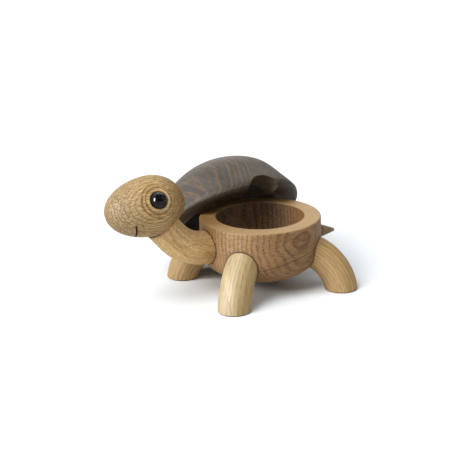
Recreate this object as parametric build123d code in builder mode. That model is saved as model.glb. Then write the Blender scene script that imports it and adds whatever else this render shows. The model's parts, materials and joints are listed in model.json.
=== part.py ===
from build123d import *
from math import acos, asin, atan2, cos, degrees, hypot, radians, sin, sqrt, tan
import os

# Turtle figurine whose body is a small turned bowl and whose shell is the bowl's lid.
# Millimetres. Everything is drawn with the table at Z = 0 and the bowl's axis on Z; +X points to the head and
# +Y to the turtle's left. At the end the whole is moved so that the origin is the middle of its footprint.
# The lid is off: it stands on its lower edge at -Y and leans on the bowl's rim.

# Legs, four alike
leg_radius = 10.6
leg_azimuth = 43.0
leg_root_inset = 16.8
leg_bend_radius = 31.6
leg_bend_angle = 80.0
leg_shank_length = 0.9
leg_sole_fillet = 0.8

# Bowl
bowl_radius = 40.0
bowl_wall = 10.9
bowl_wall_height = 21.1
bowl_ground_gap = 4.0
bowl_foot_flat_radius = 9.0
bowl_floor_thickness = 10.44
bowl_floor_fillet = 9.0
bowl_rim_outer_fillet = 1.1
bowl_rim_inner_fillet = 0.6
leg_root_above_belly = 1.3

# Neck
neck_radius = 10.9
neck_root_inset = 3.3
neck_root_below_rim = 14.8
neck_root_droop = 6.0
neck_bend_radius = 31.45
neck_bend_angle = 55.8
neck_straight = 13.8
neck_end_chamfer = 0.4

# Head, two half ellipses that meet at the widest girth
head_half_width = 19.3
head_front_length = 30.9
head_rear_length = 21.8
head_droop = 3.4
head_centre_forward = 13.0
head_centre_back = 4.3
head_turn_gap = 0.2
mouth_slot_width = 1.0
mouth_forward = 18.2
mouth_drop = 5.8
mouth_lean = 10.0

# Eyes
eye_radius = 5.25
eye_sink = 1.6
eye_forward = 1.4
eye_raise_angle = 26.9
eye_stem_radius = 1.5
eye_stem_length = 7.0
eye_seat_ring = 0.7
eye_seat_depth = 1.0

# Tail
tail_root_below_rim = 17.9
tail_droop = 6.5
tail_root_radius = 6.3
tail_tip_radius = 1.3
tail_length = 17.2
tail_swell = 0.3
tail_root_inset = 2.0

# Dowels and fits
dowel_radius = 4.0
dowel_tip_chamfer = 0.6
neck_dowel_in_bowl = 7.0
neck_dowel_in_neck = 13.0
head_dowel_in_neck = 13.0
head_dowel_in_head = 11.0
leg_dowel_in_bowl = 7.0
leg_dowel_in_leg = 12.0
tail_dowel_radius = 2.4
tail_dowel_in_bowl = 7.0
tail_dowel_in_tail = 6.5
glue_gap = 0.05
running_gap = 0.05
hole_end_gap = 0.3

# Shell, the bowl's lid
shell_brim_width = 9.8
shell_height = 42.3
shell_edge_radius = 4.4
shell_edge_turn = 24.0
shell_dome_shares = ((0.893, 0.365), (0.711, 0.695), (0.40, 0.919))
shell_seat_depth = 2.5
shell_seat_clearance = 0.4
shell_seat_width = 5.9
shell_hollow_wall = 8.0
shell_hollow_depth = 28.0
shell_notch_clearance = 1.9
shell_notch_drop = 3.5
shell_contact_angle = 53.33
shell_notch_turn = 99.0

# Cuts and the legs' raw ends run past the surface by this much
overrun = 3.0

# Heights and distances that follow from the sizes above
leg_shank_height = leg_shank_length * sin(radians(leg_bend_angle))
leg_root_height = leg_bend_radius * (1 - cos(radians(leg_bend_angle))) + leg_shank_height
leg_root_distance = bowl_radius - leg_root_inset
leg_raw_end = leg_shank_length + leg_radius / tan(radians(leg_bend_angle)) + overrun
bowl_wall_foot_height = leg_root_height - leg_root_above_belly
bowl_rim_height = bowl_wall_foot_height + bowl_wall_height
bowl_belly_depth = bowl_wall_foot_height - bowl_ground_gap
bowl_belly_sweep = degrees(acos(bowl_foot_flat_radius / bowl_radius))
bowl_foot_height = bowl_wall_foot_height - bowl_belly_depth * sin(radians(bowl_belly_sweep))
bowl_floor_height = bowl_foot_height + bowl_floor_thickness
neck_root_height = bowl_rim_height - neck_root_below_rim
tail_root_height = bowl_rim_height - tail_root_below_rim
shell_seat_radius = bowl_radius + shell_seat_clearance
shell_radius = shell_seat_radius + shell_brim_width
shell_hollow_radius = shell_seat_radius - shell_seat_width
shell_notch_radius = neck_radius + shell_notch_clearance

pieces = {}


def upright_plane(azimuth):
    """Plane through the bowl's axis: local X points outward at this azimuth, local Y points up."""
    outward = Vector(cos(radians(azimuth)), sin(radians(azimuth)), 0)
    return Plane(origin=(0, 0, 0), x_dir=outward, z_dir=outward.cross(Vector(0, 0, 1)))


def make_dowel(start, end, radius):
    """Round pin from one point to the other, chamfered at both ends."""
    with BuildPart() as pin:
        with BuildSketch(Plane(origin=start, z_dir=end - start)):
            Circle(radius)
        extrude(amount=(end - start).length)
        chamfer(pin.edges().filter_by(GeomType.CIRCLE), length=dowel_tip_chamfer)
    return pin.part


def make_dowel_hole(start, end, radius):
    """Tool that drills a blind hole at both ends of a dowel, a little deeper than the dowel reaches."""
    along = (end - start).normalized()
    with BuildPart() as hole:
        with BuildSketch(Plane(origin=start - along * hole_end_gap, z_dir=along)):
            Circle(radius)
        extrude(amount=(end - start).length + 2 * hole_end_gap)
    return hole.part


def leg_centre(turn):
    """Point of a leg's centre line, outward and up, after the bend has turned by this angle."""
    outward = leg_root_distance + leg_bend_radius * sin(turn)
    height = leg_root_height - leg_bend_radius * (1 - cos(turn))
    return outward, height


def inside_bowl(outward, height):
    """True where a point lies within the bowl's outer surface, on the wall or on the belly."""
    below_wall = max(bowl_wall_foot_height - height, 0)
    return (outward / bowl_radius) ** 2 + (below_wall / bowl_belly_depth) ** 2 < 1


# Neck centre line, in the plane of symmetry
with BuildLine(Plane.XZ) as neck_path:
    neck_bend = JernArc(
        start=(bowl_radius - neck_root_inset, neck_root_height),
        tangent=(cos(radians(neck_root_droop)), -sin(radians(neck_root_droop))),
        radius=neck_bend_radius,
        arc_size=neck_bend_angle,
    )
    Line(neck_bend @ 1, neck_bend @ 1 + (neck_bend % 1) * neck_straight)
neck_axis = neck_path.line % 1
neck_end = neck_path.line @ 1
neck_root = neck_path.line @ 0

# Head axes: its centre lies beyond the neck's end and a little behind the neck's line
head_forward = Vector(cos(radians(head_droop)), 0, -sin(radians(head_droop)))
head_up = Vector(sin(radians(head_droop)), 0, cos(radians(head_droop)))
neck_back = neck_axis.cross(Vector(0, 1, 0))
head_centre = neck_end + neck_axis * head_centre_forward + neck_back * head_centre_back

# Dowel ends: each pair runs from inside the carrier to inside the carried piece
neck_dowel_start = Vector(bowl_radius - neck_dowel_in_bowl, 0, neck_root_height)
neck_dowel_end = Vector(bowl_radius + neck_dowel_in_neck, 0, neck_root_height)
head_dowel_start = neck_end - neck_axis * head_dowel_in_neck
head_dowel_end = neck_end + neck_axis * head_dowel_in_head
tail_axis = Vector(-cos(radians(tail_droop)), 0, -sin(radians(tail_droop)))
tail_root = Vector(-bowl_radius, 0, tail_root_height)
tail_dowel_start = tail_root - tail_axis * tail_dowel_in_bowl
tail_dowel_end = tail_root + tail_axis * tail_dowel_in_tail

# The leg dowels lie along the leg's centre line where it crosses the bowl's surface
inner_turn = 0.0
outer_turn = radians(leg_bend_angle)
for halving in range(40):
    crossing_turn = (inner_turn + outer_turn) / 2
    if inside_bowl(*leg_centre(crossing_turn)):
        inner_turn = crossing_turn
    else:
        outer_turn = crossing_turn

leg_azimuths = {
    "front_left": leg_azimuth,
    "rear_left": 180 - leg_azimuth,
    "rear_right": 180 + leg_azimuth,
    "front_right": -leg_azimuth,
}
leg_dowel_ends = {}
for leg_name, azimuth in leg_azimuths.items():
    leg_plane = upright_plane(azimuth)
    heading = leg_plane.from_local_coords(Vector(cos(crossing_turn), -sin(crossing_turn), 0))
    middle = leg_plane.from_local_coords(Vector(*leg_centre(crossing_turn), 0))
    leg_dowel_ends[leg_name] = (middle - heading * leg_dowel_in_bowl, middle + heading * leg_dowel_in_leg)

# Bowl blank: the outside of the bowl, also the shape that legs, neck and tail are coped to
with BuildPart() as bowl_blank:
    with BuildSketch(Plane.XZ):
        with BuildLine():
            belly = EllipticalCenterArc(
                center=(0, bowl_wall_foot_height),
                x_radius=bowl_radius,
                y_radius=bowl_belly_depth,
                start_angle=-bowl_belly_sweep,
                arc_size=bowl_belly_sweep,
            )
            Polyline(
                belly @ 1,
                (bowl_radius, bowl_rim_height),
                (0, bowl_rim_height),
                (0, bowl_foot_height),
                belly @ 0,
            )
        make_face()
    revolve(axis=Axis.Z)

# Bowl: bored from above, its rim eased, with a blind hole for each dowel
with BuildPart() as bowl:
    add(bowl_blank.part)
    with BuildSketch(Plane.XY.offset(bowl_floor_height)):
        Circle(bowl_radius - bowl_wall)
    extrude(amount=bowl_rim_height, mode=Mode.SUBTRACT)
    fillet(bowl.faces().filter_by(Plane.XY).sort_by(Axis.Z)[-2].edges(), radius=bowl_floor_fillet)
    rim_edges = bowl.faces().sort_by(Axis.Z)[-1].edges().sort_by(SortBy.RADIUS)
    fillet(rim_edges[-1], radius=bowl_rim_outer_fillet)
    rim_edges = bowl.faces().sort_by(Axis.Z)[-1].edges().sort_by(SortBy.RADIUS)
    fillet(rim_edges[0], radius=bowl_rim_inner_fillet)
    add(make_dowel_hole(neck_dowel_start, neck_dowel_end, dowel_radius + glue_gap), mode=Mode.SUBTRACT)
    add(make_dowel_hole(tail_dowel_start, tail_dowel_end, tail_dowel_radius + glue_gap), mode=Mode.SUBTRACT)
    for start, end in leg_dowel_ends.values():
        add(make_dowel_hole(start, end, dowel_radius + glue_gap), mode=Mode.SUBTRACT)
pieces["bowl"] = bowl.part

# Legs: bent round bars, coped to the bowl and sawn level with the table
for leg_name, azimuth in leg_azimuths.items():
    with BuildPart() as leg:
        with BuildLine(upright_plane(azimuth)) as leg_path:
            leg_bend = JernArc(
                start=(leg_root_distance, leg_root_height),
                tangent=(1, 0),
                radius=leg_bend_radius,
                arc_size=-leg_bend_angle,
            )
            Line(leg_bend @ 1, leg_bend @ 1 + (leg_bend % 1) * leg_raw_end)
        with BuildSketch(leg_path.line ^ 0):
            Circle(leg_radius)
        sweep()
        split(bisect_by=Plane.XY, keep=Keep.TOP)
        add(bowl_blank.part, mode=Mode.SUBTRACT)
        fillet(leg.faces().sort_by(Axis.Z)[0].edges(), radius=leg_sole_fillet)
        add(make_dowel_hole(*leg_dowel_ends[leg_name], dowel_radius + glue_gap), mode=Mode.SUBTRACT)
    pieces[f"{leg_name}_leg"] = leg.part
    pieces[f"{leg_name}_dowel"] = make_dowel(*leg_dowel_ends[leg_name], dowel_radius)

# Neck: one bent round bar from the bowl wall to the head's flat
with BuildPart() as neck:
    with BuildSketch(neck_path.line ^ 0):
        Circle(neck_radius)
    sweep(path=neck_path.line)
    add(bowl_blank.part, mode=Mode.SUBTRACT)
    chamfer(neck.faces().sort_by(Axis(neck_root, neck_axis))[-1].edges(), length=neck_end_chamfer)
    add(make_dowel_hole(neck_dowel_start, neck_dowel_end, dowel_radius + glue_gap), mode=Mode.SUBTRACT)
    add(make_dowel_hole(head_dowel_start, head_dowel_end, dowel_radius + glue_gap), mode=Mode.SUBTRACT)
pieces["neck"] = neck.part
pieces["neck_dowel"] = make_dowel(neck_dowel_start, neck_dowel_end, dowel_radius)
pieces["head_dowel"] = make_dowel(head_dowel_start, head_dowel_end, dowel_radius)

# Tail: a short turned cone with a rounded tip, coped to the bowl
with BuildPart() as tail:
    with BuildSketch(Plane(origin=tail_root, x_dir=tail_axis, z_dir=(0, 1, 0))):
        with BuildLine():
            tip_start = (tail_length - tail_tip_radius, tail_tip_radius)
            root_corner = (-tail_root_inset, tail_root_radius)
            side_middle = (
                (tip_start[0] + root_corner[0]) / 2,
                (tip_start[1] + root_corner[1]) / 2 + tail_swell,
            )
            Polyline((tail_length, 0), (-tail_root_inset, 0), root_corner)
            ThreePointArc(root_corner, side_middle, tip_start)
            RadiusArc(tip_start, (tail_length, 0), tail_tip_radius)
        make_face()
    revolve(axis=Axis(tail_root, tail_axis))
    add(bowl_blank.part, mode=Mode.SUBTRACT)
    add(make_dowel_hole(tail_dowel_start, tail_dowel_end, tail_dowel_radius + glue_gap), mode=Mode.SUBTRACT)
pieces["tail"] = tail.part
pieces["tail_dowel"] = make_dowel(tail_dowel_start, tail_dowel_end, tail_dowel_radius)

# Eye places: on the widest girth, a little forward and raised from the head's middle
eye_places = {}
for eye_name, side in (("left_eye", 1), ("right_eye", -1)):
    raised = radians(eye_raise_angle)
    eye_outward = Vector(0, side * cos(raised), 0) + head_up * sin(raised)
    eye_centre = head_centre + head_forward * eye_forward + eye_outward * (head_half_width - eye_sink)
    eye_places[eye_name] = (eye_centre, eye_outward)

# Head: an egg with a flat for the neck, a pivot bore, eye sockets and a sawn mouth
with BuildPart() as head:
    with BuildSketch(Plane(origin=head_centre, x_dir=head_forward, z_dir=(0, -1, 0))):
        with BuildLine():
            EllipticalCenterArc((0, 0), head_front_length, head_half_width, start_angle=0, arc_size=90)
            EllipticalCenterArc((0, 0), head_rear_length, head_half_width, start_angle=90, arc_size=90)
            Line((-head_rear_length, 0), (head_front_length, 0))
        make_face()
    revolve(axis=Axis(head_centre, head_forward))
    split(bisect_by=Plane(origin=neck_end + neck_axis * head_turn_gap, z_dir=neck_axis), keep=Keep.TOP)
    add(make_dowel_hole(head_dowel_start, head_dowel_end, dowel_radius + running_gap), mode=Mode.SUBTRACT)
    mouth_middle = head_centre + head_forward * mouth_forward
    mouth_turn = radians(head_droop + mouth_lean)
    mouth_facing = (cos(mouth_turn), 0, -sin(mouth_turn))
    with BuildSketch(Plane(origin=mouth_middle, z_dir=mouth_facing, x_dir=(0, 1, 0))):
        with Locations((0, -mouth_drop - head_half_width / 2)):
            Rectangle(2 * head_half_width, head_half_width)
    extrude(amount=mouth_slot_width / 2, both=True, mode=Mode.SUBTRACT)
    for eye_centre, eye_outward in eye_places.values():
        with Locations(Location(eye_centre)):
            Sphere(eye_radius + glue_gap, mode=Mode.SUBTRACT)
        with BuildSketch(Plane(origin=eye_centre, z_dir=-eye_outward)):
            Circle(eye_stem_radius + glue_gap)
        extrude(amount=eye_radius + eye_stem_length + hole_end_gap, mode=Mode.SUBTRACT)
        eye_seat = eye_centre + eye_outward * (eye_sink - eye_seat_depth)
        with BuildSketch(Plane(origin=eye_seat, z_dir=eye_outward)):
            Circle(eye_radius + eye_seat_ring)
        extrude(amount=eye_radius, mode=Mode.SUBTRACT)
pieces["head"] = head.part

# Eyes: round beads, each on a stem that is glued into the head
for eye_name, (eye_centre, eye_outward) in eye_places.items():
    with BuildPart() as eye:
        with Locations(Location(eye_centre)):
            Sphere(eye_radius)
        with BuildSketch(Plane(origin=eye_centre, z_dir=-eye_outward)):
            Circle(eye_stem_radius)
        extrude(amount=eye_radius + eye_stem_length)
    pieces[eye_name] = eye.part

# Where the shell leans: its edge rests on the table and the seat's inner edge rests on the bowl's rim.
# The contact angle is measured round the shell's axis, from the upslope direction to each place on the rim.
contact_reach = shell_radius - shell_edge_radius + shell_hollow_radius * cos(radians(shell_contact_angle))
contact_rise = shell_seat_depth - shell_edge_radius
contact_height = bowl_rim_height - shell_edge_radius
lean = asin(contact_height / hypot(contact_reach, contact_rise)) - atan2(contact_rise, contact_reach)
contact_half_width = shell_hollow_radius * sin(radians(shell_contact_angle))
shell_centre = Vector(
    0,
    shell_seat_depth * sin(lean)
    - shell_hollow_radius * cos(radians(shell_contact_angle)) * cos(lean)
    - sqrt(bowl_radius**2 - contact_half_width**2),
    (shell_radius - shell_edge_radius) * sin(lean) + shell_edge_radius * (1 - cos(lean)),
)
shell_axis = Vector(0, -sin(lean), cos(lean))
shell_upslope = Vector(0, cos(lean), sin(lean))
notch_turn = radians(shell_notch_turn)
notch_outward = Vector(1, 0, 0) * cos(notch_turn) + shell_upslope * sin(notch_turn)

# Shell: a flared dome, hollow, with a seat for the bowl's rim and an arched notch for the neck
with BuildPart() as shell:
    with BuildSketch(Plane(origin=shell_centre, x_dir=-notch_outward, z_dir=shell_axis.cross(notch_outward))):
        with BuildLine():
            edge_round = CenterArc(
                center=(shell_radius - shell_edge_radius, shell_edge_radius),
                radius=shell_edge_radius,
                start_angle=-90,
                arc_size=90 + shell_edge_turn,
            )
            Spline(
                edge_round @ 1,
                *((shell_radius * across, shell_height * up) for across, up in shell_dome_shares),
                (0, shell_height),
                tangents=(edge_round % 1, (-1, 0)),
            )
            hollow_roof = EllipticalCenterArc(
                center=(0, shell_hollow_wall),
                x_radius=shell_hollow_radius,
                y_radius=shell_hollow_depth - shell_hollow_wall,
                start_angle=0,
                arc_size=90,
            )
            Line((0, shell_height), hollow_roof @ 1)
            Polyline(
                hollow_roof @ 0,
                (shell_hollow_radius, shell_seat_depth),
                (shell_seat_radius, shell_seat_depth),
                (shell_seat_radius, 0),
                edge_round @ 0,
            )
        make_face()
    revolve(axis=Axis(shell_centre, shell_axis))
    with BuildSketch(
        Plane(
            origin=shell_centre - shell_axis * shell_notch_drop,
            x_dir=notch_outward.cross(shell_axis),
            z_dir=notch_outward,
        )
    ):
        Circle(shell_notch_radius)
    extrude(amount=shell_radius + overrun, mode=Mode.SUBTRACT)
pieces["shell"] = shell.part

# The origin is the middle of the whole's footprint on the table
boxes = [piece.bounding_box() for piece in pieces.values()]
middle_x = (min(box.min.X for box in boxes) + max(box.max.X for box in boxes)) / 2
middle_y = (min(box.min.Y for box in boxes) + max(box.max.Y for box in boxes)) / 2
to_origin = Vector(-middle_x, -middle_y, 0)
os.makedirs("parts", exist_ok=True)
for name, piece in pieces.items():
    placed = piece.moved(Location(to_origin))
    placed.label = name
    export_step(placed, f"parts/{name}.step")
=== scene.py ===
"""Wooden turtle with its dark lid off: camera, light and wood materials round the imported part."""
import json
import math

import bpy
from mathutils import Matrix, Vector


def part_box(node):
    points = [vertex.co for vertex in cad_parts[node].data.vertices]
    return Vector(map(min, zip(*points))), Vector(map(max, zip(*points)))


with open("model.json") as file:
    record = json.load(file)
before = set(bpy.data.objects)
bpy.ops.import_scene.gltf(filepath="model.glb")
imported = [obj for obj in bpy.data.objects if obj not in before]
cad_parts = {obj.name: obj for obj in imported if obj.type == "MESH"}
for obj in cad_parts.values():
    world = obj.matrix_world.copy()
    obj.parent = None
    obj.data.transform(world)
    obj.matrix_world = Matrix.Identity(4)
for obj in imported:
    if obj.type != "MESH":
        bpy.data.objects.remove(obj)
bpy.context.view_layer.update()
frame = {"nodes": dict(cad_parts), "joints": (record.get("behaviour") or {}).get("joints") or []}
nodes = frame["nodes"]


def heading(angle):
    """Direction in the turtle's middle plane, by its angle in degrees above straight ahead."""
    return Vector((math.cos(math.radians(angle)), 0.0, math.sin(math.radians(angle))))


# Places are in millimetres from the foot of the bowl's axis, in the directions of the frame
mm_per_metre = 1000.0
bowl_low, bowl_high = (Vector(corner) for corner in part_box("bowl"))
bowl_foot = Vector(((bowl_low.x + bowl_high.x) / 2, (bowl_low.y + bowl_high.y) / 2, 0.0))
bowl_radius = (bowl_high.x - bowl_low.x) / 2 * mm_per_metre
rim_height = bowl_high.z * mm_per_metre
wall_height = 21.1
belly_depth = 21.7

# Legs, four alike: each follows an arc in an upright plane through the bowl's axis
leg_azimuth = 43.0
leg_radius = 10.6
leg_bend_radius = 31.6
leg_root_inset = 16.8
leg_root_height = 27.0
leg_bend_centre = (bowl_radius - leg_root_inset, leg_root_height - leg_bend_radius)

# Neck: it follows an arc in the middle plane, whose centre lies above the neck's root
neck_radius = 10.9
neck_bend_radius = 31.45
neck_root_inset = 3.3
neck_root_below_rim = 14.8
neck_root_droop = 6.0
neck_to_bend = neck_bend_radius * heading(90.0 - neck_root_droop)
neck_bend_centre = (
    bowl_radius - neck_root_inset + neck_to_bend.x, rim_height - neck_root_below_rim + neck_to_bend.z)

# Tail
tail_radius = 6.2
tail_root_below_rim = 17.9
tail_droop = 6.5
tail_root = Vector((-bowl_radius, 0.0, rim_height - tail_root_below_rim))
tail_backward = heading(180.0 + tail_droop)

# Head, which turns about the frame's own joint
head_joint = next(joint for joint in frame["joints"] if joint["name"] == "head_turn")
head_pivot = (Vector(head_joint["pos_m"]) - bowl_foot) * mm_per_metre
head_axis = Vector(head_joint["axis"])
head_half_width = 19.3
head_droop = 3.4

# Left eye: its ball is the outermost and highest part of its box
eye_radius = 5.25
eye_sink = 1.6
eye_forward = 1.4
eye_raise = math.radians(26.9)
eye_outward = Vector((0.0, math.cos(eye_raise), 0.0)) + math.sin(eye_raise) * heading(90.0 - head_droop)
eye_low, eye_high = (mm_per_metre * (Vector(corner) - bowl_foot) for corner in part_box("left_eye"))
eye_middle = Vector(((eye_low.x + eye_high.x) / 2, eye_high.y - eye_radius, eye_high.z - eye_radius))

# Mouth, a saw cut across the head's middle line
mouth_forward = 18.2
mouth_lean = 10.0
mouth_half_width = 0.5
mouth_top = 59.9
head_middle = eye_middle - eye_forward * heading(-head_droop) - (head_half_width - eye_sink) * eye_outward
mouth_middle = head_middle + mouth_forward * heading(-head_droop)
mouth_facing = heading(-head_droop - mouth_lean)

# Shell, which leans on the bowl's rim: the middle of its lower edge, and its axis
shell_lean = math.radians(41.3)
shell_middle = Vector((0.0, -42.712, 31.322))
shell_axis = Vector((0.0, -math.sin(shell_lean), math.cos(shell_lean)))
shell_seat_radius = 40.4
shell_hollow_radius = 35.0
shell_hollow_rise = 20.5
shell_hollow_base = 8.0
shell_notch_radius = neck_radius + 1.9
shell_notch_drop = 3.5
shell_notch_turn = math.radians(99.0)
shell_notch_middle = shell_middle - shell_notch_drop * shell_axis
shell_notch_outward = (
    math.cos(shell_notch_turn) * Vector((1.0, 0.0, 0.0))
    + math.sin(shell_notch_turn) * shell_axis.cross(Vector((1.0, 0.0, 0.0))))


class Tree:
    """Short calls for building a node tree."""

    def __init__(self, tree):
        self.tree = tree

    def put(self, value, socket):
        if isinstance(value, bpy.types.NodeSocket):
            self.tree.links.new(value, socket)
        else:
            socket.default_value = value

    def add(self, kind, inputs=None, **settings):
        node = self.tree.nodes.new(kind)
        for key, value in settings.items():
            setattr(node, key, value)
        for key, value in (inputs or {}).items():
            self.put(value, node.inputs[key])
        return node

    def math(self, operation, *values, clamp=False):
        node = self.add("ShaderNodeMath", operation=operation, use_clamp=clamp)
        for value, socket in zip(values, node.inputs):
            self.put(value, socket)
        return node.outputs[0]

    def chain(self, operation, values):
        """One operation over all values, from the first to the last."""
        result, *others = values
        for value in others:
            result = self.math(operation, result, value)
        return result

    def plus(self, *values):
        return self.chain("ADD", values)

    def times(self, *values):
        return self.chain("MULTIPLY", values)

    def largest(self, *values):
        return self.chain("MAXIMUM", values)

    def smallest(self, *values):
        return self.chain("MINIMUM", values)

    def minus(self, value, other):
        return self.math("SUBTRACT", value, other)

    def length(self, first, second):
        """Length of the diagonal over two sides."""
        return self.math("SQRT", self.plus(self.times(first, first), self.times(second, second)))

    def vector(self, operation, *values, out=0):
        node = self.add("ShaderNodeVectorMath", operation=operation)
        for value, socket in zip(values, node.inputs):
            self.put(tuple(value) if isinstance(value, Vector) else value, socket)
        return node.outputs[out]

    def split(self, place):
        return self.add("ShaderNodeSeparateXYZ", {0: place}).outputs

    def join(self, x, y, z):
        return self.add("ShaderNodeCombineXYZ", {0: x, 1: y, 2: z}).outputs[0]

    def reach(self, place, direction):
        """How far a place lies along a direction."""
        return self.vector("DOT_PRODUCT", place, direction, out=1)

    def noise(self, place, detail=2.0, rough=0.5):
        """Noise about zero, mostly within a half each way."""
        inputs = {"Vector": place, "Scale": 1.0, "Detail": detail, "Roughness": rough}
        return self.minus(self.add("ShaderNodeTexNoise", inputs).outputs["Fac"], 0.5)

    def span(self, value, low, high, to_low=0.0, to_high=1.0):
        """Soft step from one level to another as the value goes from low to high."""
        inputs = {"Value": value, "From Min": low, "From Max": high, "To Min": to_low, "To Max": to_high}
        return self.add("ShaderNodeMapRange", inputs, interpolation_type="SMOOTHSTEP").outputs[0]

    def below(self, value, low, high):
        """One up to low, and nothing from high on."""
        return self.minus(1.0, self.span(value, low, high))

    def hump(self, value, middle, width):
        """Bell-shaped weight round one value."""
        away = self.math("DIVIDE", self.minus(value, middle), width)
        return self.math("EXPONENT", self.times(away, away, -1.0))

    def mix(self, kind, factor, under, over):
        node = self.add("ShaderNodeMix", data_type="RGBA", blend_type=kind)
        self.put(factor, node.inputs[0])
        for value, socket in ((under, node.inputs[6]), (over, node.inputs[7])):
            self.put((*value, 1.0) if isinstance(value, tuple) else value, socket)
        return node.outputs[2]

    def blend(self, factor, under, over):
        return self.mix("MIX", factor, under, over)

    def tint(self, factor, colour, by):
        """Colour multiplied by another, as far as the factor says."""
        return self.mix("MULTIPLY", factor, colour, by)

    def wood_tone(self, level):
        """Multiplying colour that is browner where it is darker, as oiled wood is."""
        level = self.largest(level, 0.05)
        red, green, blue = (self.math("POWER", level, power) for power in (0.85, 1.0, 1.3))
        return self.add("ShaderNodeCombineColor", {0: red, 1: green, 2: blue}).outputs[0]


def new_material(name):
    mat = bpy.data.materials.new(name)
    mat.use_nodes = True
    mat.node_tree.nodes.clear()
    t = Tree(mat.node_tree)
    shader = t.add("ShaderNodeBsdfPrincipled")
    t.put(shader.outputs[0], t.add("ShaderNodeOutputMaterial").inputs[0])
    return mat, t, shader


def dress(name, mat):
    """Puts a material on a piece, smooth but for its real edges."""
    node = nodes[name]
    node.data.materials.clear()
    node.data.materials.append(mat)
    node.data.shade_smooth()
    node.data.set_sharp_from_angle(angle=real_edge_angle)


real_edge_angle = math.radians(32.0)

# Each layer of noise is read at an offset of its own, so that no two are alike
layer_offsets = {
    "bend": 0.0, "ripple": 3.0, "streak": 7.0, "stripe": 9.0, "tone": 11.0, "large_pore": 17.0,
    "small_pore": 23.0, "ray": 29.0}


class Wood:
    """A place in a piece of wood, and its distances in the wood's own directions.

    These run along the fibres, sideways in the planes of the rings, and out through the rings.
    """

    def __init__(self, t, grain, seed):
        self.t = t
        place = t.vector("SUBTRACT", t.add("ShaderNodeTexCoord").outputs["Object"], bowl_foot)
        self.place = t.vector("MULTIPLY", place, (mm_per_metre, mm_per_metre, mm_per_metre))
        self.seed = seed
        self.along, self.side, self.out = grain(t, self.place)

    def in_units(self, length, across, through):
        """Distances along, sideways and out, each counted in a size of its own."""
        pairs = ((self.along, length), (self.side, across), (self.out, through))
        return self.t.join(*(self.t.math("DIVIDE", distance, size) for distance, size in pairs))

    def noise(self, layer, length, across, through=None, detail=1.0, rough=0.5):
        """Noise whose patches have these sizes."""
        offset = layer_offsets[layer]
        start = (self.seed + offset, 1.7 * self.seed + offset, 0.6 * self.seed - offset)
        place = self.t.vector("ADD", self.in_units(length, across, through or across), start)
        return self.t.noise(place, detail, rough)


def straight_grain(centre, fibres, outward):
    """Grain of a straight piece, by the direction of its fibres and roughly that out through its rings."""
    along = Vector(fibres).normalized()
    out = Vector(outward)
    out = (out - out.dot(along) * along).normalized()

    def grain(t, place):
        shifted = t.vector("SUBTRACT", place, centre)
        return [t.reach(shifted, direction) for direction in (along, along.cross(out), out)]

    return grain


def from_bend(t, place, azimuth, centre):
    """Distances outward and upward from a bend's centre in an upright plane, and sideways from that plane."""
    a = math.radians(azimuth)
    outward = t.minus(t.reach(place, (math.cos(a), math.sin(a), 0.0)), centre[0])
    height = t.minus(t.reach(place, (0.0, 0.0, 1.0)), centre[1])
    return outward, height, t.reach(place, (-math.sin(a), math.cos(a), 0.0))


def bent_grain(azimuth, centre, radius, rise, roll):
    """Grain of a bent rod. Its rise is 1 for a bend that arches over and -1 for one that sags."""
    r = math.radians(roll)

    def grain(t, place):
        outward, height, sideways = from_bend(t, place, azimuth, centre)
        along = t.times(t.math("ARCTAN2", outward, t.times(height, rise)), radius)
        beyond = t.minus(t.length(outward, height), radius)
        side = t.minus(t.times(beyond, math.cos(r)), t.times(sideways, math.sin(r)))
        return along, side, t.plus(t.times(sideways, math.cos(r)), t.times(beyond, math.sin(r)))

    return grain


def growth_rings(wood, ring, pith, swirls, wander, waver, ring_width):
    """Early wood from 0 to 1, and a chance value for each ring. Swirls push the rings into closed ovals."""
    t = wood.t
    rings = t.minus(t.length(wood.side, t.plus(wood.out, pith)), pith)
    bend = wood.noise("bend", length=45.0, across=22.0)
    ripple = wood.noise("ripple", length=9.0, across=3.0, detail=2.0)
    rings = t.plus(rings, t.times(bend, 4.0 * wander), t.times(ripple, 1.6 * waver))
    for (middle_along, width_along), (middle_side, width_side), height in swirls:
        dome = t.hump(wood.along, middle_along, width_along), t.hump(wood.side, middle_side, width_side)
        rings = t.plus(rings, t.times(*dome, height))
    turn = t.math("DIVIDE", rings, ring)
    phase = t.math("FRACT", turn)
    count = t.math("FLOOR", turn)
    chance = t.add("ShaderNodeTexWhiteNoise", {"W": count}, noise_dimensions="1D").outputs["Value"]
    early_wood = t.times(t.span(phase, 0.0, 0.10), t.below(phase, 0.12, ring_width))
    return early_wood, chance


def pore_marks(wood, early_wood, length, size, crowding):
    """Pores: dashes on the sides, dots on the end grain, crowded in the early part of each ring."""
    t = wood.t
    large = t.span(wood.noise("large_pore", length, size), 0.03, 0.12)
    small = t.span(wood.noise("small_pore", 0.7 * length, 0.6 * size), 0.04, 0.14)
    crowd = t.plus(1.0 - crowding, t.times(early_wood, crowding))
    return t.times(t.largest(large, t.times(small, 0.6)), crowd)


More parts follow.
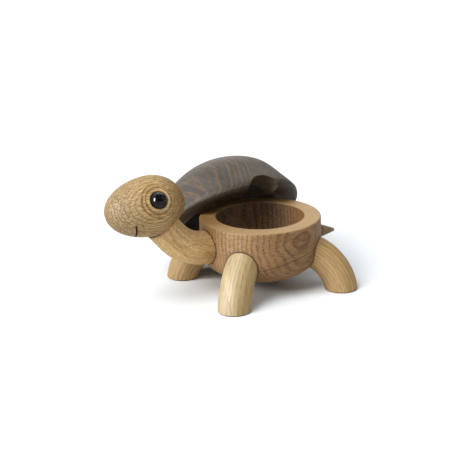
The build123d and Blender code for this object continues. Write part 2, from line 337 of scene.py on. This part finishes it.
def oak(name, grain, ring, early, late, pore, pith=80.0, swirls=(), wander=1.0, waver=0.6, ring_depth=1.0,
        ring_width=0.5, streak=0.10, streak_size=(14.0, 0.6), blotch=0.08, pore_depth=0.5, pore_length=2.6,
        pore_size=0.8, crowding=0.7, fleck=0.0, fleck_size=(3.0, 0.4, 2.5), bump=0.3, specular=0.25,
        seed=0.0, marks=()):
    """Oiled wood. Sizes are in mm, and early, late and pore are the colours of these parts.

    The rings lie round a pith line, wander over long stretches and waver over short ones. Streaks follow the
    fibres, blotches are wider, and a fleck is a ray that is cut through. Crowding draws the pores together in
    the early wood. Marks are put on in their order.
    """
    mat, t, shader = new_material(name)
    wood = Wood(t, grain, seed)

    early_wood, chance = growth_rings(wood, ring, pith, swirls, wander, waver, ring_width)
    strength = t.times(early_wood, t.plus(0.45, t.times(chance, 0.55)), ring_depth)
    colour = t.blend(t.smallest(strength, 1.0), late, early)

    # Fibre streaks and slow changes of tone
    fine = wood.noise("streak", *streak_size, detail=2.0, rough=0.6)
    stripe = wood.noise("stripe", length=38.0, across=2.3)
    tone = wood.noise("tone", length=30.0, across=11.0, detail=2.0)
    level = t.plus(
        t.times(fine, 2.2 * streak), t.times(stripe, 2.4 * streak), t.times(tone, 2.4 * blotch), 1.0)

    # Rays: thin sheets that stand out from the pith
    if fleck:
        ray = t.span(wood.noise("ray", *fleck_size), -0.08, 0.14)
        level = t.plus(level, t.times(t.minus(ray, 0.5), fleck))
    colour = t.tint(1.0, colour, t.wood_tone(level))

    pores = pore_marks(wood, early_wood, pore_length, pore_size, crowding)
    colour = t.blend(t.math("MULTIPLY", pores, pore_depth, clamp=True), colour, pore)
    for mark in marks:
        colour = mark(wood, colour)
    t.put(colour, shader.inputs["Base Color"])

    t.put(t.plus(0.5, t.times(pores, 0.18), t.times(fine, 0.15)), shader.inputs["Roughness"])
    shader.inputs["Specular IOR Level"].default_value = specular
    height = t.minus(t.times(fine, 0.5), t.plus(pores, t.times(early_wood, 0.3)))
    relief = t.add("ShaderNodeBump", {"Strength": bump, "Distance": 0.0002, "Height": height})
    t.put(relief.outputs[0], shader.inputs["Normal"])
    return mat


def distance_to_line(t, place, point, direction):
    """Distance from a line through a point, and the distance along it."""
    shifted = t.vector("SUBTRACT", place, point)
    ahead = t.reach(shifted, direction.normalized())
    length = t.vector("LENGTH", shifted, out=1)
    square = t.minus(t.times(length, length), t.times(ahead, ahead))
    return t.math("SQRT", t.largest(square, 0.0)), ahead


def distance_to_bend(t, outward, height, sideways, radius):
    """Distance from a circle that lies in an upright plane, from places counted from its centre."""
    return t.length(t.minus(t.length(outward, height), radius), sideways)


def bowl_skin(wood):
    """One on the bowl's outer surface, less inside it and more outside."""
    t = wood.t
    x, y, z = t.split(wood.place)
    drop = t.largest(t.times(t.minus(rim_height - wall_height, z), bowl_radius / belly_depth), 0.0)
    squares = t.plus(t.times(x, x), t.times(y, y), t.times(drop, drop))
    return t.times(squares, 1.0 / bowl_radius ** 2)


# Marks: each takes the wood and the colour so far, and gives the colour with the mark on it
def check_line(start, end, width, depth, dark, bow, across="side", beyond=25.0):
    """A fine split on the turtle's left. Its ends are given along the fibres and across them."""

    def mark(wood, colour):
        t = wood.t
        share = t.math("DIVIDE", t.minus(wood.along, start[0]), end[0] - start[0], clamp=True)
        line = t.plus(start[1], t.times(share, end[1] - start[1]))
        line = t.plus(line, t.times(share, t.minus(1.0, share), 4.0 * bow))
        inside = t.times(t.span(share, 0.0, 0.1), t.below(share, 0.9, 1.0))
        near = t.span(t.reach(wood.place, (0.0, 1.0, 0.0)), beyond, beyond + 3.0)
        weight = t.times(t.hump(getattr(wood, across), line, width), inside, near, depth)
        return t.blend(t.smallest(weight, 1.0), colour, dark)

    return mark


def toning(direction, low, high, factor):
    """Multiplies the colour, from nothing at low mm to all of it at high mm along a direction."""

    def mark(wood, colour):
        t = wood.t
        reach = t.reach(wood.place, Vector(direction).normalized())
        return t.tint(t.span(reach, low, high), colour, factor)

    return mark


def glue_line_and_contact_shade(wood, colour):
    """Dark joint where a limb is glued to the bowl, on the limb's side, with painted contact shade in it."""
    t = wood.t
    return t.tint(t.below(bowl_skin(wood), 1.008, 1.035), colour, (0.45, 0.38, 0.32))


def sole_painted_contact_shadow(wood, colour):
    """Painted contact shadow along the sawn edge at the table."""
    t = wood.t
    return t.tint(t.below(t.split(wood.place)[2], 0.35, 0.95), colour, (0.30, 0.27, 0.25))


def neck_seam_shadow(low, high):
    """Painted shadow in the seam where the head turns on the neck, and not on the rest of the head's flat
    face.
    """

    def mark(wood, colour):
        t = wood.t
        reach, height = distance_to_line(t, wood.place, head_pivot, head_axis)
        at_seam = t.below(t.math("ABSOLUTE", height), low, high)
        on_neck = t.below(reach, neck_radius + 0.4, neck_radius + 1.4)
        return t.tint(t.times(at_seam, on_neck), colour, (0.13, 0.10, 0.08))

    return mark


def bowl_joints_and_shade(wood, colour):
    """Dark joints round the roots of the legs, the neck and the tail, on the bowl's side, with painted
    contact shade in them and a wider band of painted shade round them.
    """
    t = wood.t
    x, y, z = t.split(wood.place)
    one_leg = t.join(t.math("ABSOLUTE", x), t.math("ABSOLUTE", y), z)
    leg = distance_to_bend(t, *from_bend(t, one_leg, leg_azimuth, leg_bend_centre), leg_bend_radius)
    neck = distance_to_bend(t, *from_bend(t, wood.place, 0.0, neck_bend_centre), neck_bend_radius)
    tail = distance_to_line(t, wood.place, tail_root, tail_backward)[0]

    # The neck's circle and the tail's line are put out of reach on the bowl's other side
    out_of_reach = 50.0
    leg = t.minus(leg, leg_radius)
    neck = t.plus(t.minus(neck, neck_radius), t.times(t.below(x, 20.0, 30.0), out_of_reach))
    tail = t.plus(t.minus(tail, tail_radius), t.times(t.span(x, -30.0, -20.0), out_of_reach))
    gap = t.smallest(leg, neck, tail)
    outer = t.span(bowl_skin(wood), 0.90, 0.96)
    # Painted shade: a soft darker band round each joint, and contact shade in the joint line
    painted_shade_round_joint = t.times(t.below(gap, 0.0, 3.2), outer, 0.35)
    joint = t.times(t.below(gap, 0.15, 0.85), outer)
    return t.tint(joint, t.tint(painted_shade_round_joint, colour, (0.40, 0.34, 0.30)), (0.22, 0.18, 0.15))


def bowl_tint_and_painted_light(wood, colour):
    """The sanded rim is flat tan and the bore redder. Painted light and shade: a shadow on the rim by the
    neck, a paler rounded foot, a lighter wall front and a darker bore.
    """
    t = wood.t
    x, y, z = t.split(wood.place)
    over_rim = t.minus(z, rim_height)
    rim = t.span(over_rim, -0.7, -0.1)
    under_rim = t.below(over_rim, -1.0, -0.4)
    inside = t.times(t.below(bowl_skin(wood), 0.60, 0.85), under_rim)

    # The grain is plainer on the wall's tail side
    wall_brown = (0.268, 0.150, 0.064)
    plainer = t.times(t.below(x, -24.0, 8.0), t.minus(1.0, inside), 0.38)
    colour = t.blend(plainer, colour, wall_brown)

    # The rim, with a painted shadow where the neck joins
    sanded_tan = (0.48, 0.315, 0.138)
    colour = t.blend(t.times(rim, 0.6), colour, sanded_tan)
    rim_painted_shadow_by_neck = t.times(rim, t.below(y, -6.0, 16.0), t.span(x, 15.0, 30.0))
    colour = t.tint(rim_painted_shadow_by_neck, colour, (0.80, 0.70, 0.56))

    # Painted light: the foot paler as if lit by the floor below, and the wall's front lighter as if lit from
    # the head's side
    colour = t.tint(t.below(z, 5.0, 20.0), colour, (1.08, 1.12, 1.05))
    colour = t.tint(t.times(t.span(x, 8.0, 38.0), under_rim), colour, (1.50, 1.54, 1.48))

    # The bore, redder, with painted shade at its front and on the side where the lid leans
    colour = t.tint(inside, colour, (1.22, 1.03, 0.84))
    colour = t.tint(t.times(inside, t.span(x, 2.0, 20.0)), colour, (0.66, 0.70, 0.78))
    return t.tint(t.times(inside, t.below(y, -24.0, 8.0)), colour, (0.53, 0.77, 1.28))


def end_grain(wood, colour):
    """Pores seen end on at the nose."""
    t = wood.t
    dots = t.span(t.noise(wood.in_units(length=5.0, across=0.85, through=0.85), 1.0), -0.02, 0.12)
    at_nose = t.span(t.reach(wood.place, (1.0, 0.0, -0.35)), 62.0, 82.0)
    return t.blend(t.times(dots, at_nose, 0.74), colour, (0.19, 0.105, 0.042))


def eye_ring(wood, colour):
    """Edge round each eye: a painted contact shadow at the bead, a pale ring round it, and dark arcs in
    front.
    """
    t = wood.t
    x, y, z = t.split(wood.place)
    left = t.join(x, t.math("ABSOLUTE", y), z)
    reach, ahead = distance_to_line(t, left, eye_middle, eye_outward)
    back = t.span(t.minus(eye_middle.x, x), -2.0, 6.0)
    on_face = t.span(ahead, -8.0, -4.0)
    pale = t.times(t.hump(reach, 6.9, 0.55), on_face, t.plus(0.25, t.times(back, 0.75)))
    colour = t.blend(t.times(pale, 0.85), colour, (0.82, 0.60, 0.33))
    arcs = t.times(t.largest(t.hump(reach, 8.4, 0.4), t.hump(reach, 10.7, 0.4)), t.minus(1.0, back), 0.9)
    dark = t.plus(t.times(t.hump(reach, 8.2, 0.6), back, 0.4), arcs)
    colour = t.tint(t.times(dark, on_face), colour, (0.45, 0.33, 0.20))
    # Painted contact shadow where the bead sits in the head
    contact = t.below(reach, eye_radius + 0.2, eye_radius + 0.7)
    return t.tint(t.times(contact, on_face), colour, (0.10, 0.08, 0.06))


def mouth_painted_shade(wood, colour):
    """Painted shade inside the sawn mouth."""
    t = wood.t
    away = t.math("ABSOLUTE", t.reach(t.vector("SUBTRACT", wood.place, mouth_middle), mouth_facing))
    in_cut = t.below(away, mouth_half_width - 0.02, mouth_half_width + 0.12)
    low = t.below(t.split(wood.place)[2], mouth_top - 0.3, mouth_top + 0.3)
    return t.tint(t.times(in_cut, low), colour, (0.25, 0.20, 0.17))


def shell_cuts(wood, colour):
    """The shell is shaded towards the tail, brown where it is hollowed, and has painted shade under its edge.
    """
    t = wood.t
    radial, height = distance_to_line(t, wood.place, shell_middle, shell_axis)
    x = t.split(wood.place)[0]
    shade = t.times(t.below(height, 20.0, 38.0), t.below(x, 14.0, 36.0))
    colour = t.tint(shade, colour, (0.68, 0.72, 0.68))

    # An oval hollow above the seat for the bowl's rim, and the notch for the neck
    rise = t.times(t.minus(height, shell_hollow_base), shell_hollow_radius / shell_hollow_rise)
    hollow = t.times(t.length(radial, rise), 1.0 / shell_hollow_radius)
    hollow = t.times(t.below(hollow, 1.0, 1.03), t.below(height, 28.6, 29.2))
    in_seat = t.below(radial, shell_seat_radius + 0.1, shell_seat_radius + 0.5)
    seat = t.times(in_seat, t.below(height, 7.0, 8.0))
    reach, ahead = distance_to_line(t, wood.place, shell_notch_middle, shell_notch_outward)
    in_notch = t.below(reach, shell_notch_radius + 0.1, shell_notch_radius + 0.2)
    notch = t.times(in_notch, t.span(ahead, 0.0, 5.0))
    cut = t.largest(seat, hollow, notch)
    colour = t.tint(cut, colour, (1.40, 1.30, 1.25))
    colour = t.tint(hollow, colour, (0.95, 1.25, 1.45))

    # Painted shade on the flat under the edge, which reaches a little higher towards the head
    flat = t.times(t.below(height, 2.2, 3.0), t.span(x, -34.0, -22.0))
    flat = t.largest(flat, t.below(height, 1.5, 1.9))
    return t.tint(t.times(flat, t.minus(1.0, cut)), colour, (0.50, 0.42, 0.36))


def bowl_oak():
    """Fibres level, so the wall shows upright ring lines at the front and ovals towards the tail."""
    dark = (0.075, 0.038, 0.018)
    less_dark = (0.09, 0.045, 0.022)
    long_check = check_line((28.8, -9.4), (-6.4, -2.4), width=0.34, depth=0.9, dark=dark, bow=1.0)
    short_check = check_line((16.0, -3.0), (-8.0, 2.5), width=0.26, depth=0.6, dark=less_dark, bow=0.6)
    return oak(
        "bowl_oak", straight_grain((0.0, 0.0, 30.0), (0.958, 0.286, 0.0), (-0.286, 0.958, 0.03)),
        early=(0.186, 0.095, 0.037), late=(0.325, 0.184, 0.078), pore=(0.080, 0.036, 0.015),
        ring=2.8, ring_width=0.65, ring_depth=0.85, pith=260.0, wander=1.2,
        swirls=[((9.0, 24.0), (8.5, 9.0), 2.8)], streak=0.20, streak_size=(18.0, 0.6), fleck=0.26,
        fleck_size=(6.0, 0.6, 2.6), pore_depth=0.95, pore_length=13.0, pore_size=0.66, crowding=0.5, seed=1.3,
        marks=[bowl_tint_and_painted_light, long_check, short_check, bowl_joints_and_shade])


def leg_oak(leg, azimuth, roll, early, late, seed, marks=()):
    """Fibres follow the bend."""
    return oak(
        leg + "_oak", bent_grain(azimuth, leg_bend_centre, leg_bend_radius, rise=1.0, roll=roll),
        early=early, late=late, pore=(0.22, 0.135, 0.06),
        ring=2.2, ring_width=0.55, ring_depth=0.6, pith=90.0, wander=0.8, waver=0.5,
        streak=0.18, streak_size=(9.0, 0.6), blotch=0.09, fleck=0.14, fleck_size=(6.0, 0.5, 1.5),
        pore_depth=0.55, pore_length=5.0, pore_size=0.6, seed=seed, marks=[*marks, glue_line_and_contact_shade, sole_painted_contact_shadow])


def neck_oak():
    """Fibres follow the bend, with painted shade near the bowl and a painted shadow under the head."""
    # Painted shade on the neck beside the bowl
    painted_shade_near_bowl = toning((-1.0, 0.0, 0.0), low=-58.0, high=-42.0, factor=(0.78, 0.73, 0.66))
    end = head_pivot.dot(head_axis)
    # Painted shadow on the neck under the head
    painted_shadow_under_head = toning(head_axis, low=end - 3.65, high=end - 0.35, factor=(0.52, 0.43, 0.34))
    return oak(
        "neck_oak", bent_grain(0.0, neck_bend_centre, neck_bend_radius, rise=-1.0, roll=12.0),
        early=(0.56, 0.345, 0.132), late=(0.74, 0.505, 0.232), pore=(0.30, 0.165, 0.065),
        ring=1.5, ring_depth=0.6, pith=40.0, wander=0.7, waver=0.7, swirls=[((13.0, 6.0), (-5.5, 6.0), 1.8)],
        streak=0.17, streak_size=(4.5, 0.7), fleck=0.25, fleck_size=(2.5, 0.6, 1.5),
        pore_depth=0.6, pore_length=2.0, pore_size=0.7, seed=21.0,
        marks=[painted_shade_near_bowl, painted_shadow_under_head, glue_line_and_contact_shade, neck_seam_shadow(0.45, 1.2)])


def head_oak():
    """Rings round the eye on the side, speckled end grain at the nose, painted cool light on the nose and
    painted shade at the back.
    """
    # Painted cool light: the nose paler and bluer towards the front
    painted_cool_light_nose = toning((1.0, 0.0, 0.0), low=84.0, high=104.0, factor=(1.0, 1.06, 1.22))
    # Painted shade at the back of the head
    painted_shade_back = toning((-1.0, 0.0, -0.2), low=-92.0, high=-74.0, factor=(0.76, 0.68, 0.60))
    return oak(
        "head_oak", straight_grain((80.0, 17.0, 74.0), (1.0, -0.08, -0.05), (0.09, 0.92, 0.38)),
        early=(0.255, 0.145, 0.050), late=(0.51, 0.350, 0.160), pore=(0.14, 0.072, 0.025),
        ring=1.45, ring_width=0.42, ring_depth=0.95, pith=120.0, wander=0.3, waver=0.4,
        swirls=[((0.0, 9.0), (0.0, 8.0), 3.0)], streak=0.20, streak_size=(9.0, 0.6), blotch=0.05,
        fleck=0.34, fleck_size=(5.0, 0.6, 1.2), pore_depth=0.85, pore_length=5.5, pore_size=0.62,
        crowding=0.3, specular=0.14, seed=31.0,
        marks=[end_grain, painted_cool_light_nose, painted_shade_back, eye_ring, mouth_painted_shade, neck_seam_shadow(0.4, 1.1)])


def tail_oak():
    """The darkest of the light oak pieces, with its fibres along it."""
    return oak(
        "tail_oak", straight_grain((-48.0, 0.0, 28.0), (-1.0, 0.0, -0.1), (0.0, 1.0, 0.3)),
        early=(0.18, 0.115, 0.060), late=(0.28, 0.198, 0.110), pore=(0.09, 0.055, 0.032),
        ring=2.2, pith=40.0, seed=41.0, marks=[glue_line_and_contact_shade])


def smoked_oak():
    """Grey late wood with browner early wood between, and painted light on the top."""
    # Painted light on the top of the shell
    painted_light_top = toning((0.0, 0.0, 1.0), low=68.0, high=84.0, factor=(1.20, 1.18, 1.12))
    return oak(
        "smoked_oak", straight_grain((0.0, -43.0, 40.0), (-0.17, 0.98, 0.0), (0.75, 0.13, 0.65)),
        early=(0.203, 0.121, 0.071), late=(0.088, 0.076, 0.064), pore=(0.030, 0.024, 0.020),
        ring=1.9, ring_width=0.7, pith=90.0, wander=0.5, waver=0.35, streak=0.32, streak_size=(6.0, 0.6),
        blotch=0.10, pore_length=2.5, pore_size=0.6, bump=0.2, seed=51.0, marks=[painted_light_top, shell_cuts])


def dowel_beech():
    """Plain pale wood of the dowels, which lie inside."""
    return oak(
        "dowel_beech", straight_grain((0.0, 0.0, 20.0), (0.0, 0.0, 1.0), (1.0, 0.0, 0.0)),
        early=(0.50, 0.33, 0.20), late=(0.60, 0.42, 0.27), pore=(0.35, 0.20, 0.11),
        ring=3.0, ring_depth=0.5, pore_depth=0.3, seed=61.0)


def eye_black():
    """Glossy black bead with faint wear."""
    mat, t, shader = new_material("eye_black")
    wear_per_metre = (900.0, 900.0, 900.0)
    place = t.vector("MULTIPLY", t.add("ShaderNodeTexCoord").outputs["Object"], wear_per_metre)
    wear = t.noise(place, 3.0)
    colour = t.blend(t.span(wear, -0.15, 0.2), (0.0025, 0.0025, 0.003), (0.006, 0.006, 0.0065))
    t.put(colour, shader.inputs["Base Color"])
    t.put(t.span(wear, -0.2, 0.3, 0.05, 0.10), shader.inputs["Roughness"])
    shader.inputs["Specular IOR Level"].default_value = 0.25
    return mat


dress("bowl", bowl_oak())

# Each leg has a tone of its own, as in the photograph, and one shows a short split and painted shade on its
# side away from the light
split_dark = (0.27, 0.125, 0.045)
split = check_line((38.5, -0.3), (45.4, 2.6), width=0.24, depth=0.8, dark=split_dark, bow=0.2, across="out")
# Painted shade on the front left leg's side away from the light
painted_shade_side = toning((-0.68, 0.73, 0.0), low=0.0, high=9.0, factor=(0.82, 0.73, 0.55))
dress("front_left_leg", leg_oak(
    "front_left_leg", leg_azimuth, roll=5.0, early=(0.46, 0.335, 0.165), late=(0.57, 0.455, 0.270), seed=2.0,
    marks=[split, painted_shade_side]))
dress("rear_left_leg", leg_oak(
    "rear_left_leg", 180.0 - leg_azimuth, roll=65.0, early=(0.32, 0.190, 0.072), late=(0.49, 0.32, 0.137),
    seed=5.1))
dress("rear_right_leg", leg_oak(
    "rear_right_leg", 180.0 + leg_azimuth, roll=40.0, early=(0.36, 0.225, 0.092), late=(0.53, 0.355, 0.160),
    seed=8.4))
dress("front_right_leg", leg_oak(
    "front_right_leg", -leg_azimuth, roll=50.0, early=(0.33, 0.200, 0.080), late=(0.49, 0.32, 0.135),
    seed=11.9))

dress("neck", neck_oak())
dress("head", head_oak())
dress("tail", tail_oak())
dress("shell", smoked_oak())
beech = dowel_beech()
for name in nodes:
    if name.endswith("dowel"):
        dress(name, beech)
bead = eye_black()
for name in ("left_eye", "right_eye"):
    dress(name, bead)


def lay_floor():
    """Pale paper. The camera sees it paler than the light that it gives back, so it runs out into white."""
    metres_across = 12.0
    gap_under_soles = 0.00005
    bpy.ops.mesh.primitive_plane_add(size=metres_across, location=(0.0, 0.0, -gap_under_soles))
    floor = bpy.context.object
    floor.name = "floor"
    paper, t, shader = new_material("floor_paper")
    lit_white = (0.74, 0.74, 0.74)
    seen_white = (0.94, 0.975, 1.0)
    seen = t.add("ShaderNodeLightPath").outputs["Is Camera Ray"]
    t.put(t.blend(seen, lit_white, seen_white), shader.inputs["Base Color"])
    shader.inputs["Roughness"].default_value = 0.9
    shader.inputs["Specular IOR Level"].default_value = 0.0
    floor.data.materials.append(paper)


def make_world():
    """Dim studio with a screen behind the turtle that shows mostly as gloss. The camera sees white."""
    world = bpy.data.worlds.new("studio")
    bpy.context.scene.world = world
    world.use_nodes = True
    world.node_tree.nodes.clear()
    t = Tree(world.node_tree)
    toward = t.vector("NORMALIZE", t.add("ShaderNodeTexCoord").outputs["Generated"])
    up = t.split(toward)[2]
    screen = t.span(t.reach(toward, (0.05, -0.85, 0.52)), 0.35, 0.95)
    path = t.add("ShaderNodeLightPath").outputs
    shine = t.times(screen, t.plus(0.12, t.times(path["Is Glossy Ray"], 1.1)))
    level = t.plus(0.05, t.times(up, up, 0.15), shine)
    studio = t.add("ShaderNodeBackground", {"Color": (0.95, 0.98, 1.0, 1.0), "Strength": level})
    white = t.add("ShaderNodeBackground", {"Color": (1.0, 1.0, 1.0, 1.0), "Strength": 1.0})
    seen = {0: path["Is Camera Ray"], 1: studio.outputs[0], 2: white.outputs[0]}
    t.put(t.add("ShaderNodeMixShader", seen).outputs[0], t.add("ShaderNodeOutputWorld").inputs[0])


def add_lamp(name, direction, strength, angle, diffuse=True, glossy=False):
    """Soft light from a direction, from a disc this many degrees across."""
    data = bpy.data.lights.new(name, "SUN")
    data.energy = strength
    data.angle = math.radians(angle)
    lamp = bpy.data.objects.new(name, data)
    lamp.rotation_euler = Vector(direction).to_track_quat("Z", "Y").to_euler()
    lamp.visible_diffuse = diffuse
    lamp.visible_glossy = glossy
    bpy.context.scene.collection.objects.link(lamp)


def add_lamps():
    add_lamp("key", (0.66, 0.165, 0.73), 2.5, 36)
    add_lamp("top", (0.15, 0.05, 1.0), 0.6, 50)
    add_lamp("front", (0.50, 0.70, 0.42), 0.35, 60)
    add_lamp("side", (0.886, -0.149, 0.438), 0.7, 20)
    add_lamp("back", (-0.45, -0.65, 0.62), 0.55, 50, glossy=True)
    add_lamp("tail_side", (-0.80, 0.40, 0.45), 0.35, 40, glossy=True)

    # One tall soft box in front of the head, seen only as a gleam
    box_low = Vector((0.972, 0.205, 0.115))
    box_high = Vector((0.800, 0.040, 0.599))
    for i in range(3):
        add_lamp("box_%d" % i, box_low.lerp(box_high, 0.15 + 0.35 * i), 4.0, 21, diffuse=False, glossy=True)


def add_camera():
    """The photograph's view, found by fitting the part's outlines to it."""
    azimuth = math.radians(62.6962)
    elevation = math.radians(18.5163)
    roll = math.radians(-1.2654)
    place = bowl_foot + Vector((0.416931, 0.764219, 0.328399))
    focal_pixels = 1392.2
    frame_pixels = 460.0
    data = bpy.data.cameras.new("camera")
    data.sensor_width = 36.0
    data.lens = focal_pixels / frame_pixels * data.sensor_width
    data.clip_start = 0.05
    data.clip_end = 30.0
    camera = bpy.data.objects.new("camera", data)
    bpy.context.scene.collection.objects.link(camera)

    back = math.cos(elevation) * Vector((math.cos(azimuth), math.sin(azimuth), 0.0))
    back.z = math.sin(elevation)
    level = Vector((-math.sin(azimuth), math.cos(azimuth), 0.0))
    right = math.cos(roll) * level + math.sin(roll) * back.cross(level)
    turn = Matrix((right, back.cross(right), back)).transposed().to_4x4()
    camera.matrix_world = Matrix.Translation(place) @ turn
    bpy.context.scene.camera = camera


lay_floor()
make_world()
add_lamps()
add_camera()
bpy.context.scene.view_settings.view_transform = "Standard"
